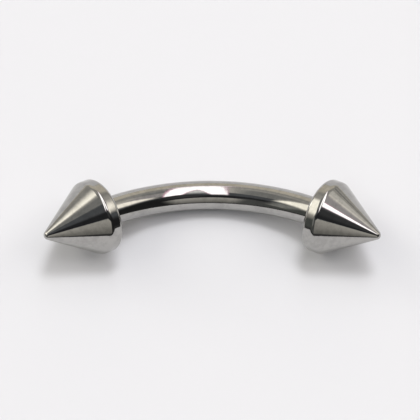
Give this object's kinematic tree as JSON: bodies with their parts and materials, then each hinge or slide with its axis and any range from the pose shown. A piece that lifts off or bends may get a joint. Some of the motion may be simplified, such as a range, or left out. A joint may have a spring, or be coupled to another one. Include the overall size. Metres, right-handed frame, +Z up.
{
  "type": "curved eyebrow barbell",
  "caption": "Curved barbell of polished steel for an eyebrow piercing: a bent bar with a threaded post at each end, and a screw-on cone spike on each post.",
  "frame": {"origin": "middle of the footprint, on the surface that the barbell lies on", "axes": "+X from the left tip to the right tip, +Y towards the crown of the bend, +Z up from the surface"},
  "size_m": [0.0136, 0.0034, 0.003],
  "materials": {
    "bar_steel": "mirror-polished stainless steel",
    "cone_steel": "mirror-polished stainless steel"
  },
  "bodies": {
    "bar": {"curved_bar": "bar_steel"},
    "left_cone": {"left_cone": "cone_steel"},
    "right_cone": {"right_cone": "cone_steel"}
  },
  "joints": [
    {"name": "left_unscrew", "type": "slide", "parent": "bar", "child": "left_cone", "axis": [-0.8141, -0.4808, 0.3257], "range_m": [0, 0.002]},
    {"name": "right_unscrew", "type": "slide", "parent": "bar", "child": "right_cone", "axis": [0.8141, -0.4808, 0.3257], "range_m": [0, 0.002]}
  ]
}
